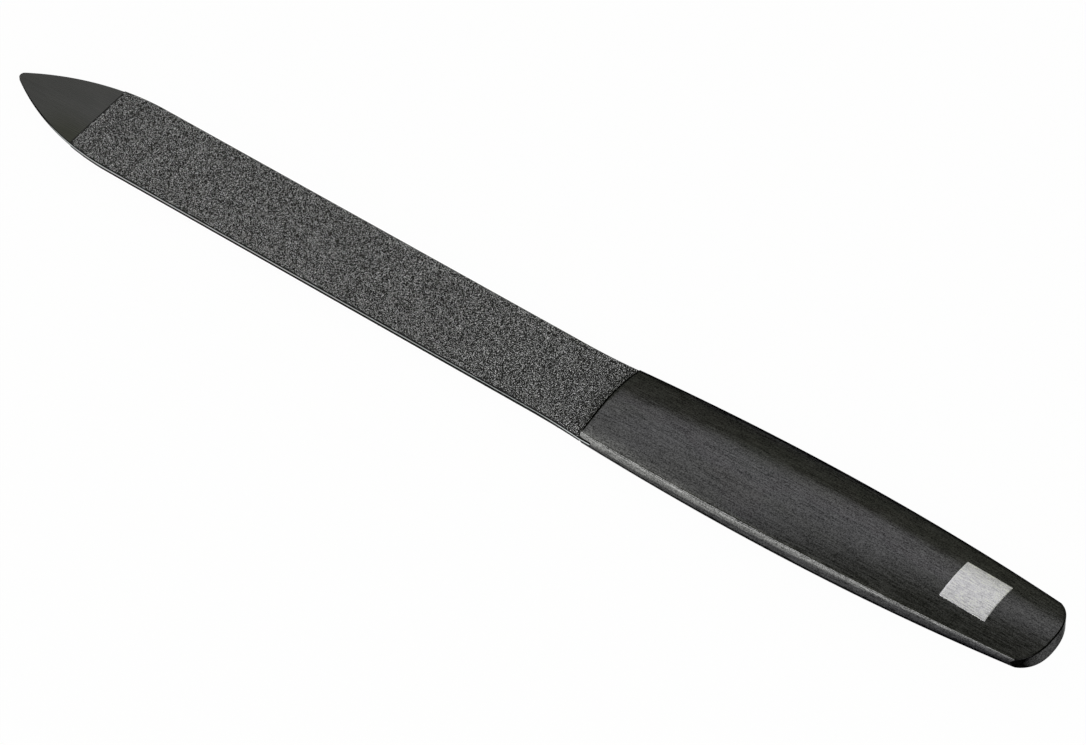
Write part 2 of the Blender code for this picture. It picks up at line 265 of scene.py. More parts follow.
class Nodes:
    """Adds nodes to a tree: a type, its settings, then the values or links of its sockets"""

    def __init__(self, tree):
        self.tree = tree
        tree.nodes.clear()

    def add(self, kind, options=None, sockets=None, output=0):
        node = self.tree.nodes.new(kind)
        for name, value in (options or {}).items():
            setattr(node, name, value)
        for place, value in (sockets or {}).items():
            if isinstance(value, Value):
                self.tree.links.new(value.socket, node.inputs[place])
            else:
                node.inputs[place].default_value = value
        return Value(self, node.outputs[output]) if node.outputs else node

    def coordinate(self, axis, kind="Object"):
        """One of the three parts of a surface's coordinates."""
        place = self.add("ShaderNodeTexCoord", output=kind)
        return self.add("ShaderNodeSeparateXYZ", {}, {0: place}, axis)

    def noise(self, cells, detail, roughness, turn=(0, 0, 0)):
        """Noise with so many cells to a metre along each axis of the piece, once it is turned."""
        place = self.add("ShaderNodeTexCoord", output="Object")
        turned = self.add("ShaderNodeMapping", {}, {"Vector": place, "Rotation": turn})
        place = self.add("ShaderNodeMapping", {}, {"Vector": turned, "Scale": cells})
        sockets = {"Vector": place, "Scale": 1, "Detail": detail, "Roughness": roughness}
        return self.add("ShaderNodeTexNoise", {}, sockets)

    def between(self, value, low, high, to_low=0, to_high=1):
        """A soft step from one number to another while the value goes from low to high."""
        sockets = {0: value, 1: low, 2: high, 3: to_low, 4: to_high}
        return self.add("ShaderNodeMapRange", {"interpolation_type": "SMOOTHSTEP"}, sockets)

    def blend(self, factor, first, second, how="MIX"):
        options = {"data_type": "RGBA", "blend_type": how}
        return self.add("ShaderNodeMix", options, {0: factor, 6: first, 7: second}, 2)

    def times(self, shade, level):
        """A colour times a number."""
        grey = self.add("ShaderNodeCombineColor", {}, {0: level, 1: level, 2: level})
        return self.blend(1.0, shade, grey, "MULTIPLY")

    def attribute(self, name):
        """A number kept on the mesh."""
        return self.add("ShaderNodeAttribute", {"attribute_name": name}, output=2)

    def bump(self, height, strength, distance):
        sockets = {"Height": height, "Strength": strength, "Distance": distance}
        return self.add("ShaderNodeBump", {}, sockets)


class Finish(Nodes):
    """A new material and its nodes"""

    def __init__(self, name):
        self.material = bpy.data.materials.new(name)
        self.material.use_nodes = True
        super().__init__(self.material.node_tree)

    def surface(self, base, roughness, normal, others):
        sockets = {"Base Color": base, "Roughness": roughness, "Normal": normal, **others}
        return self.ended(self.add("ShaderNodeBsdfPrincipled", {}, sockets))

    def ended(self, shader):
        self.add("ShaderNodeOutputMaterial", {}, {"Surface": shader})
        return self.material


def paint(name):
    """One of the finishes' colours, as a node takes it."""
    return (*getattr(settings("colours"), name), 1)


def metal(tint=1.0):
    """The sockets of a metal whose glancing shine is tinted grey."""
    return {"Metallic": 1, "Specular Tint": (tint, tint, tint, 1)}


# Finishes. Noise is given in cells to a metre, and a bump's distance in metres.


def black_brushed_finish():
    """Black coating over metal brushed lengthwise, with painted highlights, sheen and shade."""
    n = Finish("black_brushed_metal")
    turn = (0, settings("handle").pitch, 0)
    streaks = n.between(n.noise((330, 5600, 5600), 2, 0.6, turn), 0.32, 0.68)
    fine = n.between(n.noise((5200, 7500, 7500), 1, 0.5, turn), 0.3, 0.7)
    long = n.noise((110, 3200, 3200), 2, 0.5, turn)
    patches = n.noise((50, 220, 220), 2, 0.5, turn)
    # Painted highlight high on the side walls.
    lustre = n.attribute("pale_band")
    # Painted highlight along the right rims, streaked with the brushing.
    shimmer = n.attribute("rim_wear")
    shiny = shimmer * (0.55 + streaks * 0.3 + fine * 0.3) * 0.8
    base = n.blend(n.between(patches, 0.4, 0.65), paint("black"), paint("black_warm"))
    base = n.blend(lustre, base, paint("black_side_highlight"))
    # Painted sheen on the end wall.
    base = n.blend(n.attribute("end_wall"), base, paint("black_end_sheen"))
    base = n.blend(shiny, base, paint("black_rim_highlight"))
    # Painted shade at the lips, towards the end wall's corners, along the left rim and low on the
    # walls.
    base = n.blend(n.attribute("dark_lip"), base, paint("black_painted_shade"))
    base = n.times(base, 0.06 + streaks * 0.54 + fine * 0.96 + long * 0.36)
    rough = 0.13 + streaks * 0.08 + patches * 0.06 + lustre * 0.25 - shimmer * 0.03
    return n.surface(base, rough, n.bump(streaks * 0.6 + fine * 0.4, 0.22, 0.00001), metal(0.25))


def dark_steel_finish():
    """Smooth dark steel of the bare tip, ground finely lengthwise, with one darker, warmer corner.
    """
    n = Finish("dark_tip_steel")
    streaks = n.noise((260, 6500, 6500), 2, 0.5)
    clouds = n.noise((180, 300, 300), 2, 0.5)
    # Darker, warmer tone on the right side behind the nose.
    dark_corner = n.between(n.coordinate("X"), NOSE_X + 4 * MM, NOSE_X + 12 * MM)
    dark_corner = dark_corner * (1 - n.between(n.coordinate("Y"), -5 * MM, 0.5 * MM))
    base = n.blend(dark_corner, paint("steel"), paint("steel_warm"))
    base = n.times(base, 0.78 + streaks * 0.24 + clouds * 0.2)
    rough = 0.27 + (streaks - 0.5) * 0.12
    return n.surface(base, rough, n.bump(streaks, 0.12, 0.00001), metal(0.3))


def ground_edge_finish():
    """Ground steel of the blade's edges, near black as painted shade, with a painted highlight
    along one fine line behind the tip.
    """
    n = Finish("ground_edge_steel")
    sizes = settings("blade")
    marks = n.noise((900, 2600, 9000), 2, 0.5)
    off_line = (n.coordinate("Z") - (BLADE_PLANE + sizes.bright_line)).math("ABSOLUTE")
    # Painted highlight along one fine line, fading in behind the nose.
    gleam = n.between(n.coordinate("X"), NOSE_X + sizes.bright_from, NOSE_X + sizes.bright_to)
    gleam = gleam * (1 - n.between(off_line, 0.05 * MM, 0.12 * MM))
    base = n.times(n.blend(gleam, paint("edge_dark"), paint("edge")), 0.72 + marks * 0.5)
    return n.surface(base, 0.24 + marks * 0.16, n.bump(marks, 0.15, 0.00001), metal(0.3))


def bond_finish():
    """Dark layer that holds the grains."""
    n = Finish("grit_bond")
    pits = n.noise((7000, 7000, 7000), 2, 0.6)
    base = n.times(paint("bond"), 0.5 + pits)
    rough = 0.6 + pits * 0.3
    return n.surface(base, rough, n.bump(pits, 0.5, 0.00004), {"Specular IOR Level": 0.15})


def grain_finish():
    """Sharp abrasive grains, each of its own tone, a few of them bright."""
    n = Finish("grit_grains")
    tone = n.attribute("grain_tone")
    specks = n.noise((15000, 15000, 15000), 1, 0.5)
    bright = n.between(tone, 0.97, 0.99)
    shade = n.between(tone * 0.55 + specks * 1.3, 0.78, 1.1)
    base = n.blend(shade, paint("grain_dark"), paint("grain_pale"))
    base = n.blend(bright, base, paint("grain_bright"))
    rough = 0.5 - tone * 0.2
    return n.surface(base, rough, n.bump(specks, 0.35, 0.00003), {"Metallic": bright * 0.6})


def satin_badge_finish():
    """Bright satin metal, brushed finely lengthwise."""
    n = Finish("satin_badge_metal")
    turn = (0, settings("handle").pitch, 0)
    streaks = n.between(n.noise((700, 6500, 6500), 3, 0.65, turn), 0.3, 0.7)
    grains = n.between(n.noise((6500, 6500, 6500), 1, 0.5, turn), 0.25, 0.75)
    base = n.times(paint("badge"), 0.5 + streaks * 0.5 + grains * 0.35)
    normal = n.bump(streaks * 0.6 + grains * 0.4, 0.3, 0.00002)
    return n.surface(base, 0.35 + streaks * 0.1, normal, metal())


def filler_finish():
    """Matt cast resin with small bubbles."""
    n = Finish("filler_resin")
    clouds = n.noise((900, 900, 900), 3, 0.6)
    bubbles = n.noise((4000, 4000, 4000), 1, 0.5)
    base = n.times(paint("filler"), 0.7 + clouds * 0.6)
    return n.surface(base, 0.5 + clouds * 0.25, n.bump(bubbles, 0.3, 0.00005), {})


# Mesh helpers


def limited(value):
    """The value, held between 0 and 1."""
    return min(max(value, 0), 1)


def spread(start, end, steps):
    """Evenly spaced numbers with both ends."""
    return [start + (end - start) * i / steps for i in range(steps + 1)]


def join_rings(bm, rings):
    """Walls between closed rings, each with as many corners as the next, and the first's cap."""
    count = len(rings[0])
    for ring, following in zip(rings, rings[1:]):
        for i in range(count):
            j = (i + 1) % count
            bm.faces.new((ring[i], ring[j], following[j], following[i]))
    bm.faces.new(rings[0])


def skin_loops(loops):
    """A solid through loops of points."""
    bm = bmesh.new()
    rings = [[bm.verts.new(point) for point in loop] for loop in loops]
    join_rings(bm, rings)
    bm.faces.new(rings[-1])
    return bm


def linked(name, data):
    """A new object in the scene."""
    made = bpy.data.objects.new(name, data)
    bpy.context.scene.collection.objects.link(made)
    return made


def made_object(name, bm, materials=()):
    """An object with the mesh's faces turned outwards."""
    bmesh.ops.recalc_face_normals(bm, faces=bm.faces)
    mesh = bpy.data.meshes.new(name)
    bm.to_mesh(mesh)
    bm.free()
    for material in materials:
        mesh.materials.append(material)
    return linked(name, mesh)


def cut_away(target, bm):
    """Cuts a closed shape out of an object at once."""
    cutter = made_object(target.name + "_cutter", bm)
    modifier = target.modifiers.new("cut", "BOOLEAN")
    modifier.operation = "DIFFERENCE"
    modifier.solver = "EXACT"
    modifier.object = cutter
    settle(target)
    bpy.data.objects.remove(cutter, do_unlink=True)


def settle(target):
    """Turns what the modifiers make into the object's own plain mesh."""
    bpy.context.view_layer.update()
    graph = bpy.context.evaluated_depsgraph_get()
    mesh = bpy.data.meshes.new_from_object(target.evaluated_get(graph), depsgraph=graph)
    target.modifiers.clear()
    old = target.data
    target.data = mesh
    mesh.name = target.name
    bpy.data.meshes.remove(old)


def round_edges(target, width, segments):
    """Rounds the sharp edges of an object."""
    bevel = target.modifiers.new("rounding", "BEVEL")
    bevel.width = width
    bevel.segments = segments
    bevel.limit_method = "ANGLE"
    bevel.angle_limit = math.radians(50)
    settle(target)


def weld(target, distance):
    """Merges corners that lie on one another, so that no sliver stays open."""
    bm = bmesh.new()
    bm.from_mesh(target.data)
    bmesh.ops.remove_doubles(bm, verts=bm.verts, dist=distance)
    bm.to_mesh(target.data)
    bm.free()


def shade(target, degrees):
    """Smooth shading, with edges sharper than an angle kept."""
    target.data.shade_smooth()
    target.data.set_sharp_from_angle(angle=math.radians(degrees))


def present(target, slot, *nodes):
    """Puts a finished piece on the file's body, in place of its frame nodes."""
    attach(target, "root")
    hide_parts(*nodes)


# Handle's form


class HandleForm:
    """The handle's outer form, in its own frame from the front face, with +Z square to it"""

    # Height of the side walls and rise of the crown in mm, at four shares of the length
    SIDES = (2.2, 2.72, 2.3, 1.34)
    CROWNS = (1.36, 1.909, 1.34, 0.7)
    STATION_SHARES = (0, 0.4, 0.785, 1)

    def __init__(self):
        self.sizes = settings("handle")
        self.butt_start = self.sizes.reach - self.sizes.butt_depth
        self.widest_butt = self.side_half_width(self.butt_start, 0)

    def through_stations(self, values, x):
        """The height at x of the smooth curve through the stations' values."""
        places = [share * self.sizes.reach for share in self.STATION_SHARES]
        total = 0
        for value, place in zip(values, places):
            others = [other for other in places if other != place]
            total += value * MM * math.prod((x - other) / (place - other) for other in others)
        return total

    def rim_half_height(self, x):
        return self.through_stations(self.SIDES, x) / 2

    def rim_half_width(self, x):
        radius = self.sizes.side_radius
        away = x - self.sizes.widest_at
        return self.sizes.width / 2 - radius + math.sqrt(radius ** 2 - away ** 2)

    def side_half_width(self, x, z):
        height = self.rim_half_height(x)
        bulge = self.sizes.bulge * height / self.rim_half_height(self.sizes.widest_at)
        return self.rim_half_width(x) + bulge * max(1 - (z / height) ** 2, 0)

    def crown_height(self, x, y):
        rise = self.through_stations(self.CROWNS, x)
        return self.rim_half_height(x) + rise * (1 - (y / self.rim_half_width(x)) ** 2)

    def butt_point(self, turn):
        """A point of the rounded end wall in plan, from 0 at its start to a right angle."""
        power = 2 / self.sizes.butt_square
        x = self.butt_start + self.sizes.butt_depth * math.sin(turn) ** power
        return x, self.widest_butt * max(math.cos(turn), 0) ** power

    def corner_turn(self, height_share, rounding):
        """Where the side wall meets the end wall, as a turn along the end wall."""
        low, high = 0, math.radians(60)
        for _ in range(40):
            turn = (low + high) / 2
            x, y = self.butt_point(turn)
            if y > self.side_point(x, height_share, rounding)[1]:
                low = turn
            else:
                high = turn
        return low

    def side_point(self, x, height_share, rounding):
        """A point of the side wall, at a share of the height that the rim's rounding leaves."""
        rim_y = self.side_half_width(x, self.rim_half_height(x) - rounding)
        z = height_share * (self.crown_height(x, rim_y) - rounding)
        return x, self.side_half_width(x, z), z

    def rest_plane(self):
        """How far the lowest belly lies below the blade's mid plane."""
        low, ahead = math.cos(self.sizes.pitch), math.sin(self.sizes.pitch)
        places = spread(0, self.sizes.reach, 200)
        return max(self.crown_height(x, 0) * low - x * ahead for x in places)

    def placed(self):
        """From the handle's frame to the file's."""
        place = Matrix.Translation((NOSE_X + settings("blade").reach, 0, BLADE_PLANE))
        return place @ Matrix.Rotation(-self.sizes.pitch, 4, "Y")


# Steps along a side wall, round half the end wall, across, up a wall and round its rim
SIDE_STEPS = 72
END_STEPS = 26
ACROSS_STEPS = 30
WALL_STEPS = 8
ROUND_STEPS = 5

# Steps to the end of the painted shade in the end wall's corners, of its fade, and of the painted
# shade's fade along the side walls
CORNER_DARK_END = 25.5
CORNER_DARK_FADE = 17.5
BUTT_DARK_STEPS = 20


def across(half, i):
    """The i-th place across a crown, with closer steps towards the rims."""
    share = 2 * i / ACROSS_STEPS - 1
    return half * share * (1.35 - 0.35 * share ** 2)


def wall_half(form, height_share, rounding):
    """One side of a wall's outline, from the front corner along the side and round to the butt."""
    corner = form.corner_turn(height_share, rounding)
    places = spread(0, form.butt_point(corner)[0], SIDE_STEPS)
    points = [form.side_point(x, height_share, rounding) for x in places]
    for turn in spread(corner, math.pi / 2, END_STEPS)[1:]:
        x, y = form.butt_point(turn)
        points.append((x, y, height_share * (form.crown_height(x, y) - rounding)))
    return points


def inward_moves(points):
    """For each point of a wall's half outline, the move that sets it in by one unit in plan."""
    plan = [Vector((x, y)) for x, y, _ in points]
    longer = [plan[0] - Vector((0, 1)), *plan, Vector((plan[-1].x, -plan[-2].y))]
    moves = []
    for before, here, after in zip(longer, plan, longer[2:]):
        sides = ((here - before).normalized(), (after - here).normalized())
        first, second = (Vector((side.y, -side.x)) for side in sides)
        middle = (first + second).normalized()
        moves.append(middle / max(middle.dot(first), 0.5))
    return moves


def full_loop(half_points, front_point):
    """A closed loop from a half outline: across the front, along one side and back by the other."""
    corner = Vector(half_points[0])
    front = [Vector(front_point(-across(corner.y, i))) for i in range(1, ACROSS_STEPS)]
    near = [Vector((x, -y, z)) for x, y, z in half_points]
    far = [Vector(point) for point in reversed(half_points[:-1])]
    return front + near + far


def shell_loops(form, rim):
    """Loops up one outer half of the handle, from the seam to the edge of its crown."""
    sizes = settings("handle")
    seam = sizes.seam / 2

    def lip(y):
        share = abs(y) / form.side_half_width(0, 0)
        return rim + (sizes.lip_round - rim) * max(1 - share ** 4, 0)

    def above_seam(x, z):
        return seam + z * (1 - seam / form.crown_height(x, 0))

    loops = []
    for share in spread(0, 1, WALL_STEPS):
        half = [(x, y, above_seam(x, z)) for x, y, z in wall_half(form, share, rim)]

        def on_wall(y, share=share):
            return 0, y, above_seam(0, share * (form.crown_height(0, y) - lip(y)))

        loops.append(full_loop(half, on_wall))
    base = wall_half(form, 1, rim)
    moves = inward_moves(base)
    for turn in spread(0, math.pi / 2, ROUND_STEPS)[1:]:
        inward, down = 1 - math.cos(turn), 1 - math.sin(turn)
        half = []
        for (x, y, _), move in zip(base, moves):
            x, y = x + move.x * rim * inward, max(y + move.y * rim * inward, 0)
            half.append((x, y, form.crown_height(x, y) - rim * down))

        def on_lip(y, inward=inward, down=down):
            x = lip(y) * inward
            return x, y, form.crown_height(x, y) - lip(y) * down

        loops.append(full_loop(half, on_lip))
    return loops


def wall_marks(side, level, along, share):
    """The painted highlights, sheen and shade of the coating at one place of the loops up a wall.

    Along counts steps from the right front corner round the butt to the left one, and is
    below 0 on the front face. Share is the place's share of the handle's length.
    """
    sizes = settings("handle")
    behind = min(along, 2 * (SIDE_STEPS + END_STEPS) - along) - SIDE_STEPS
    on_wall = level <= WALL_STEPS
    at_rim = WALL_STEPS <= level < WALL_STEPS + ROUND_STEPS
    height = level / WALL_STEPS
    # Front face: painted shade along its rounded lip.
    if along < 0:
        return {"dark_lip": at_rim}
    # End wall: a painted sheen over the wall.
    if behind > 0:
        # Painted shade along the end wall's rim and towards its corners with the side walls.
        corner = limited((CORNER_DARK_END - behind) / CORNER_DARK_FADE) * on_wall
        return {"end_wall": on_wall, "dark_lip": at_rim or corner}
    # Painted shade low on the walls, growing towards the butt.
    butt_shade = 0.6 * max(1 + behind / BUTT_DARK_STEPS, 0)
    if side > 0:
        # Upper shell: painted highlight high on the side walls, weaker towards the butt.
        start = sizes.side_highlight_front + (sizes.side_highlight_butt - sizes.side_highlight_front) * share
        facing = along <= SIDE_STEPS + END_STEPS
        return {
            "pale_band": limited((height - start) / 0.2) * (1 - 0.5 * share) * on_wall,
            # Painted highlight along the top of the right wall and its rim, weaker towards the
            # butt.
            "rim_wear": (0.5 if on_wall else 0.45) * (1 - 0.5 * share) * facing * (height > 0.8),
            # Painted shade low on the walls towards the butt, and along the left rim.
            "dark_lip": butt_shade * (height < 0.5) + 0.8 * (not facing) * (level >= WALL_STEPS),
        }
    # Lower shell: painted shade towards the belly, behind the front.
    under = limited((height - 0.42) / 0.15) * limited((share - 0.08) / 0.12)
    return {
        # Painted highlight on the lower shell's walls near the seam, at the front.
        "pale_band": 0.5 * max(1 - 1.2 * share, 0) * limited((0.65 - height) / 0.3),
        "dark_lip": max(butt_shade, 0.85 * under),
    }


def crown_marks(x, inset):
    """Painted highlight and shade on the crown, whose inset goes from 0 at the right rim to 2 at
    the left one.
    """
    sizes = settings("handle")
    share = x / sizes.reach
    shiny = max(0.22 * (1 - x / sizes.highlight_reach), 0.09 - 0.08 * share)
    return {
        # Painted highlight inside the right rim, weaker towards the butt.
        "rim_wear": 0.25 * (1 - share) * limited((shiny - inset) / 0.06),
        # Painted shade inside the left rim.
        "dark_lip": 0.6 * limited((inset - 1.9) / 0.06),
    }


def handle_shell(form, side):
    """A closed solid for one outer half: wall, rounded rim and crown."""
    sizes = settings("handle")
    bm = bmesh.new()
    # Painted highlights, sheen and shade, kept on the mesh's corners.
    kinds = ("pale_band", "end_wall", "rim_wear", "dark_lip")
    layers = {kind: bm.verts.layers.float.new(kind) for kind in kinds}

    def marked(point, marks):
        vert = bm.verts.new(point)
        for kind, mark in marks.items():
            vert[layers[kind]] = mark
        return vert

    rim = sizes.rim_round if side > 0 else sizes.belly_rim_round
    rings = [
        [
            marked(point, wall_marks(side, level, i - ACROSS_STEPS + 1, point[0] / sizes.reach))
            for i, point in enumerate(loop)
        ]
        for level, loop in enumerate(shell_loops(form, rim))
    ]
    join_rings(bm, rings)
    top = rings[-1]
    rows = SIDE_STEPS + END_STEPS
    near = top[ACROSS_STEPS - 1:]
    grid = [[near[0], *reversed(top[:ACROSS_STEPS - 1]), top[-1]]]
    for i in range(1, rows):
        x = near[i].co.x
        row = [near[i]]
        for j in range(1, ACROSS_STEPS):
            y = across(-near[i].co.y, j)
            marks = crown_marks(x, 1 - y / near[i].co.y)
            row.append(marked((x, y, form.crown_height(x, y)), marks))
        row.append(near[2 * rows - i])
        grid.append(row)
    for row, following in zip(grid, grid[1:]):
        for i in range(ACROSS_STEPS):
            bm.faces.new((row[i], row[i + 1], following[i + 1], following[i]))
    tip = near[rows]
    for first, second in zip(grid[-1], grid[-1][1:]):
        bm.faces.new((first, second, tip))
    if side < 0:
        bmesh.ops.scale(bm, vec=(1, 1, -1), verts=bm.verts)
        floor = form.rest_plane() - sizes.belly_flat
        for vert in bm.verts:
            lowest = -(floor + vert.co.x * math.sin(sizes.pitch)) / math.cos(sizes.pitch)
            vert.co.z = max(vert.co.z, lowest)
    return bm


def hollow(form, side):
    """The room inside one shell."""
    sizes = settings("handle")
    steps = 24
    least, overrun = 0.6 * MM, 2 * MM
    loops = []
    for x in spread(sizes.front_wall, sizes.reach - sizes.butt_block, steps):
        half = form.rim_half_width(x) - sizes.wall
        row = [half * share for share in spread(-1, 1, steps)]
        roof = [(x, y, side * max(form.crown_height(x, y) - sizes.wall, least)) for y in row]
        loops.append([*roof, (x, half, -side * overrun), (x, -half, -side * overrun)])
    return skin_loops(loops)


def blade_slot():
    """The slot for the blade's full width, and behind it the narrower way for its tang."""
    handle = settings("handle")
    blade = settings("blade")
    overrun = 2 * MM
    wide = handle.width
    narrow = blade.tang_half + 0.3 * MM
    step = blade.shoulder + handle.slot_gap
    end = handle.front_wall + overrun
    left = [(-overrun, wide), (step, wide), (step, narrow), (end, narrow)]
    outline = [(x, -y) for x, y in left] + left[::-1]
    half = blade.steel / 2 + handle.slot_gap
    return skin_loops([[(x, y, z) for x, y in outline] for z in (-half, half)])


def badge_slab(form, grown, below, above, steps):
    """A slab that follows the crown under the badge."""
    sizes = settings("badge")
    end = form.sizes.reach - sizes.from_butt + grown
    start = end - sizes.side - 2 * grown
    half = sizes.across / 2 + grown
    loops = []
    for x in spread(start, end, steps):
        row = [half * share for share in spread(-1, 1, steps)]
        upper = [(x, y, form.crown_height(x, y) + above) for y in row]
        lower = [(x, y, form.crown_height(x, y) - below) for y in reversed(row)]
        loops.append(upper + lower)
    return skin_loops(loops)


# Blade's form


class BladeForm:
    """The steel blank's outline and thickness, along its flat from the nose"""

    def __init__(self):
        self.sizes = sizes = settings("blade")
        self.half = sizes.width / 2
        rise = sizes.tip_radius - self.half
        run = math.sqrt((sizes.tip_radius - sizes.nose_radius) ** 2 - rise ** 2)
        self.arc_start = sizes.nose_radius + run
        self.nose_end = sizes.nose_radius * (1 - run / (sizes.tip_radius - sizes.nose_radius))

    def half_width(self, x):
        sizes = self.sizes
        if x < self.nose_end:
            return math.sqrt(max(sizes.nose_radius ** 2 - (sizes.nose_radius - x) ** 2, 0))
        if x < self.arc_start:
            away = self.arc_start - x
            return self.half - sizes.tip_radius + math.sqrt(sizes.tip_radius ** 2 - away ** 2)
        share = (x - sizes.reach + sizes.flare_run) / sizes.flare_run
        return self.half + sizes.flare * limited(share) ** 2

    def thickness(self, x):
        share = min(x / settings("grit").start, 1)
        return self.sizes.nose_steel + (self.sizes.steel - self.sizes.nose_steel) * share

    def places(self, end):
        """Stations that are close at the nose, the tip's arc and the flare."""
        sizes = self.sizes
        last = math.acos(1 - self.nose_end / sizes.nose_radius)
        nose = [sizes.nose_radius * (1 - math.cos(turn)) for turn in spread(0, last, 8)[1:]]
        arc = spread(self.nose_end, self.arc_start, 48)[1:]
        return nose + arc + spread(sizes.reach - sizes.flare_run, end, 16)


def bent(form, x, y, z):
    """A point on the blank, which follows the handle's axis from its front face on."""
    reach = settings("blade").reach
    if x <= reach:
        return Vector((NOSE_X + x, y, BLADE_PLANE + z))
    return form.placed() @ Vector((x - reach, y, z))


# Least part of a normal across the flat, on a face that isn't a ground edge
LEAST_FLAT = 0.985


def blade_bar(name, materials):
    """The steel blank with its tang, holes and rounded edges."""
    blade = BladeForm()
    handle = HandleForm()
    sizes = settings("blade")
    shoulder = sizes.reach + sizes.shoulder
    tang = ((shoulder, sizes.tang_half), (sizes.reach + sizes.tang_end, sizes.tang_half))
    full = [(x, blade.half_width(x)) for x in blade.places(sizes.reach)]
    full.append((shoulder - 0.05 * MM, blade.half_width(shoulder)))
    loops = []
    for x, half in (*full, *tang):
        thick = blade.thickness(x) / 2
        corners = ((half, thick), (-half, thick), (-half, -thick), (half, -thick))
        loops.append([bent(handle, x, y, z) for y, z in corners])
    made = made_object(name, skin_loops(loops), materials)
    round_edges(made, sizes.edge_round, 3)
    for place in (sizes.hole_front, sizes.hole_rear):
        cut_away(made, tang_hole(handle, place, sizes.hole / 2))
    weld(made, 0.003 * MM)
    for face in made.data.polygons:
        face.material_index = int(abs(face.normal.z) < LEAST_FLAT)
    shade(made, 12)
    return made


def tang_hole(form, place, radius):
    """A round post that cuts one hole of the tang."""
    turns = spread(0, 2 * math.pi, 48)[:-1]
    plan = [(place + radius * math.cos(turn), radius * math.sin(turn)) for turn in turns]
    placed = form.placed()
    return skin_loops([[placed @ Vector((x, y, z)) for x, y in plan] for z in (-2 * MM, 2 * MM)])


# Grit coats


def coat_plate(name, side):
    """The bond layer of one coat, with the faces where grains may sit marked."""
    blade = BladeForm()
    sizes = settings("grit")
    end = settings("blade").reach - sizes.stop_gap
    inner_start = sizes.start + sizes.bare_ends
    inner_end = end - sizes.bare_ends
    places = [x for x in blade.places(end) if inner_start < x < inner_end]
    places = [sizes.start, inner_start, *places, inner_end, end]
    low = settings("blade").steel / 2 + 0.002 * MM
    high = low + sizes.bond
    front_fade, rear_fade = 10 * MM, 6 * MM
    bm = bmesh.new()
    field = bm.faces.layers.float.new("grain_field")
    upper, lower = [], []
    for x in places:
        fade = min((x - sizes.start) / front_fade, (end - x) / rear_fade, 1)
        outer = blade.half_width(x) + (sizes.overhang * fade if side < 0 else -sizes.edge_margin)
        row = (-outer, sizes.bare_near - outer, outer - sizes.bare_far, outer)
        edges = (low - sizes.wrap, low, low, low - sizes.wrap)
        for rows, heights in ((upper, (high,) * 4), (lower, edges)):
            points = [(NOSE_X + x, y, BLADE_PLANE + side * z) for y, z in zip(row, heights)]
            rows.append([bm.verts.new(point) for point in points])
    for i in range(len(places) - 1):
        for j in range(3):
            for rows in (upper, lower):
                corners = (rows[i][j], rows[i + 1][j], rows[i + 1][j + 1], rows[i][j + 1])
                face = bm.faces.new(corners)
                if rows is upper and j == 1 and 0 < i < len(places) - 2:
                    face[field] = 1
        for j in (0, 3):
            bm.faces.new((upper[i][j], upper[i + 1][j], lower[i + 1][j], lower[i][j]))
    for i in (0, -1):
        for j in range(3):
            bm.faces.new((upper[i][j], upper[i][j + 1], lower[i][j + 1], lower[i][j]))
    return made_object(name, bm)


# More grains to a square metre than their spacing leaves room for
GRAIN_DENSITY = 1.4e8


def grain_tree(bond_material, grain_material):
    """Scatters sharp grains over the marked faces and joins them to the bond layer."""
    tree = bpy.data.node_groups.new("scatter_grains", "GeometryNodeTree")
    n = Nodes(tree)
    entries = {"Geometry": "Geometry", "Spacing": "Float", "Grain radius": "Float", "Seed": "Int"}
    for label, kind in entries.items():
        tree.interface.new_socket(label, in_out="INPUT", socket_type="NodeSocket" + kind)
    tree.interface.new_socket("Geometry", in_out="OUTPUT", socket_type="NodeSocketGeometry")
    coat = n.add("NodeGroupInput")
    spacing, radius, seed = (coat[label] for label in list(entries)[1:])

    def named(name):
        options = {"data_type": "FLOAT"}
        return n.add("GeometryNodeInputNamedAttribute", options, {"Name": name})

    def chance(kind, output, low, high, more):
        """A random value, whose kind has two inputs and one output of its own on the node."""
        sockets = {2 * output: low, 2 * output + 1: high, "Seed": seed + more}
        return n.add("FunctionNodeRandomValue", {"data_type": kind}, sockets, output)

    points = n.add("GeometryNodeDistributePointsOnFaces", {"distribute_method": "POISSON"}, {
        "Mesh": coat, "Distance Min": spacing, "Density Max": GRAIN_DENSITY, "Seed": seed,
        "Density Factor": named("grain_field"),
    })
    crystal = n.add("GeometryNodeMeshCone", {}, {
        "Vertices": 3, "Side Segments": 1, "Radius Bottom": radius, "Depth": radius * 1.4,
    })
    sunk = n.add("ShaderNodeCombineXYZ", {}, {2: radius * -0.4})
    crystal = n.add("GeometryNodeTransform", {}, {"Geometry": crystal, "Translation": sunk})
    full = 2 * math.pi
    placed = n.add("GeometryNodeInstanceOnPoints", {}, {
        "Points": points, "Instance": crystal,
        "Rotation": chance("FLOAT_VECTOR", 0, (0, 0, 0), (full, full, full), 1),
        "Scale": chance("FLOAT_VECTOR", 0, (0.6, 0.6, 0.6), (1.25, 1.25, 1.25), 2),
    })
    options = {"data_type": "FLOAT", "domain": "INSTANCE"}
    toned = n.add("GeometryNodeStoreNamedAttribute", options, {
        "Geometry": placed, "Name": "grain_tone", "Value": chance("FLOAT", 1, 0.001, 1.0, 3),
    })
    joined = n.add("GeometryNodeJoinGeometry", {}, {0: coat})
    tree.links.new(toned.socket, joined.socket.node.inputs[0])
    made = n.add("GeometryNodeRealizeInstances", {}, {"Geometry": joined})
    made = n.add("GeometryNodeSetMaterial", {}, {"Geometry": made, "Material": bond_material})
    made = n.add("GeometryNodeSetMaterial", {}, {
        "Geometry": made, "Selection": named("grain_tone") > 0.0, "Material": grain_material,
    })
    n.add("NodeGroupOutput", {}, {"Geometry": made})
    return tree


